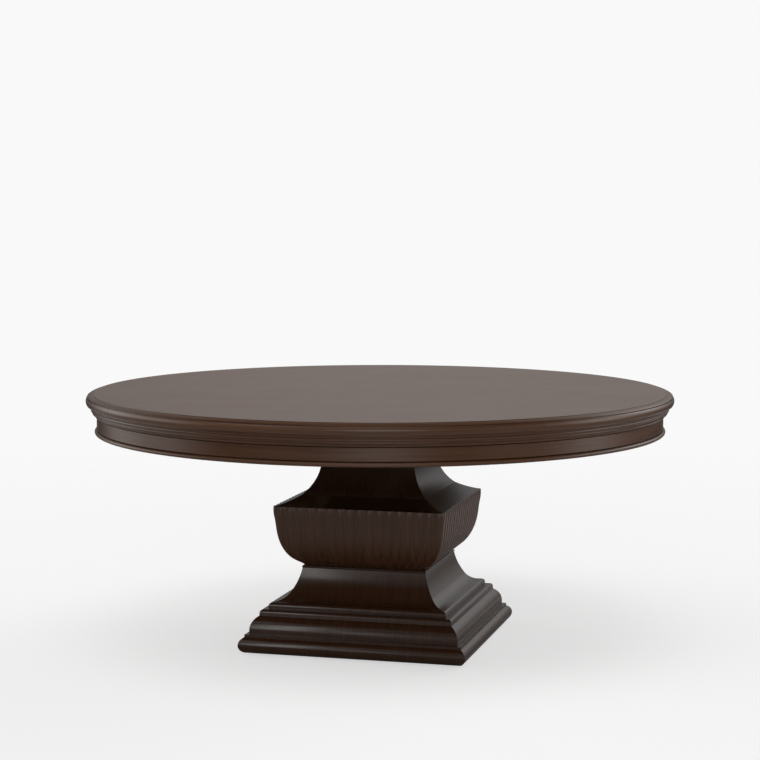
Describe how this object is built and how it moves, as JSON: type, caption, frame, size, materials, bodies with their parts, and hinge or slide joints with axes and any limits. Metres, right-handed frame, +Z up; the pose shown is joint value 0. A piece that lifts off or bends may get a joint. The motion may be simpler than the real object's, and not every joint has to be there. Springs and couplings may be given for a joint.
{
  "type": "round pedestal table",
  "caption": "Round dining table with a moulded edge and apron on a square pedestal that has a hollow neck, a reeded bowl, a flared foot and a moulded plinth",
  "frame": {"origin": "on the floor, at the middle of the table", "axes": "+Z up along the table's axis; -Y towards the front face of the square pedestal, +X to its right"},
  "size_m": [1.778, 1.778, 0.768],
  "materials": {
    "top_veneer": "satin",
    "edge_wood": "satin",
    "pedestal_wood": "satin",
    "frame_wood": "matte",
    "zinc_steel": "satin",
    "pad_plastic": "matte"
  },
  "bodies": {
    "table": {"top_panel": "top_veneer", "top_edge_1": "edge_wood", "under_moulding_1": "edge_wood", "apron_1": "edge_wood", "apron_bead_1": "edge_wood", "top_edge_2": "edge_wood", "under_moulding_2": "edge_wood", "apron_2": "edge_wood", "apron_bead_2": "edge_wood", "top_edge_3": "edge_wood", "under_moulding_3": "edge_wood", "apron_3": "edge_wood", "apron_bead_3": "edge_wood", "top_edge_4": "edge_wood", "under_moulding_4": "edge_wood", "apron_4": "edge_wood", "apron_bead_4": "edge_wood", "neck_right": "pedestal_wood", "bowl_right": "pedestal_wood", "flare_right": "pedestal_wood", "base_moulding_right": "pedestal_wood", "plinth_right": "pedestal_wood", "neck_back": "pedestal_wood", "bowl_back": "pedestal_wood", "flare_back": "pedestal_wood", "base_moulding_back": "pedestal_wood", "plinth_back": "pedestal_wood", "neck_left": "pedestal_wood", "bowl_left": "pedestal_wood", "flare_left": "pedestal_wood", "base_moulding_left": "pedestal_wood", "plinth_left": "pedestal_wood", "neck_front": "pedestal_wood", "bowl_front": "pedestal_wood", "flare_front": "pedestal_wood", "base_moulding_front": "pedestal_wood", "plinth_front": "pedestal_wood", "collar_board": "pedestal_wood", "glue_blocks": "frame_wood", "bearer_front": "frame_wood", "bearer_back": "frame_wood", "wing_batten_front": "frame_wood", "wing_batten_back": "frame_wood", "pedestal_top_plate": "frame_wood", "base_board": "frame_wood", "corner_blocks": "frame_wood", "batten_screws": "zinc_steel", "top_bolts": "zinc_steel", "top_inserts": "zinc_steel", "foot_inserts": "zinc_steel"},
    "foot_pad_1": {"foot_pad_1": "pad_plastic"},
    "foot_pad_2": {"foot_pad_2": "pad_plastic"},
    "foot_pad_3": {"foot_pad_3": "pad_plastic"},
    "foot_pad_4": {"foot_pad_4": "pad_plastic"},
    "foot_stem_1": {"foot_stem_1": "zinc_steel"},
    "foot_stem_2": {"foot_stem_2": "zinc_steel"},
    "foot_stem_3": {"foot_stem_3": "zinc_steel"},
    "foot_stem_4": {"foot_stem_4": "zinc_steel"}
  },
  "joints": [
    {"name": "foot_height_1", "type": "slide", "parent": "table", "child": "foot_pad_1", "axis": [0, 0, 1], "range_m": [-0.0101, 0.0026]},
    {"name": "foot_turn_1", "type": "hinge", "parent": "foot_pad_1", "child": "foot_stem_1", "pos_m": [0.225, -0.225, 0], "axis": [0, 0, 1], "range_deg": [-2880, 720]},
    {"name": "foot_height_2", "type": "slide", "parent": "table", "child": "foot_pad_2", "axis": [0, 0, 1], "range_m": [-0.0101, 0.0026]},
    {"name": "foot_turn_2", "type": "hinge", "parent": "foot_pad_2", "child": "foot_stem_2", "pos_m": [0.225, 0.225, 0], "axis": [0, 0, 1], "range_deg": [-2880, 720]},
    {"name": "foot_height_3", "type": "slide", "parent": "table", "child": "foot_pad_3", "axis": [0, 0, 1], "range_m": [-0.0101, 0.0026]},
    {"name": "foot_turn_3", "type": "hinge", "parent": "foot_pad_3", "child": "foot_stem_3", "pos_m": [-0.225, 0.225, 0], "axis": [0, 0, 1], "range_deg": [-2880, 720]},
    {"name": "foot_height_4", "type": "slide", "parent": "table", "child": "foot_pad_4", "axis": [0, 0, 1], "range_m": [-0.0101, 0.0026]},
    {"name": "foot_turn_4", "type": "hinge", "parent": "foot_pad_4", "child": "foot_stem_4", "pos_m": [-0.225, -0.225, 0], "axis": [0, 0, 1], "range_deg": [-2880, 720]}
  ],
  "couplings": [
    {"joint": "foot_height_1", "follows": "foot_turn_1", "m_per_rad": 0.00019894},
    {"joint": "foot_height_2", "follows": "foot_turn_2", "m_per_rad": 0.00019894},
    {"joint": "foot_height_3", "follows": "foot_turn_3", "m_per_rad": 0.00019894},
    {"joint": "foot_height_4", "follows": "foot_turn_4", "m_per_rad": 0.00019894}
  ]
}
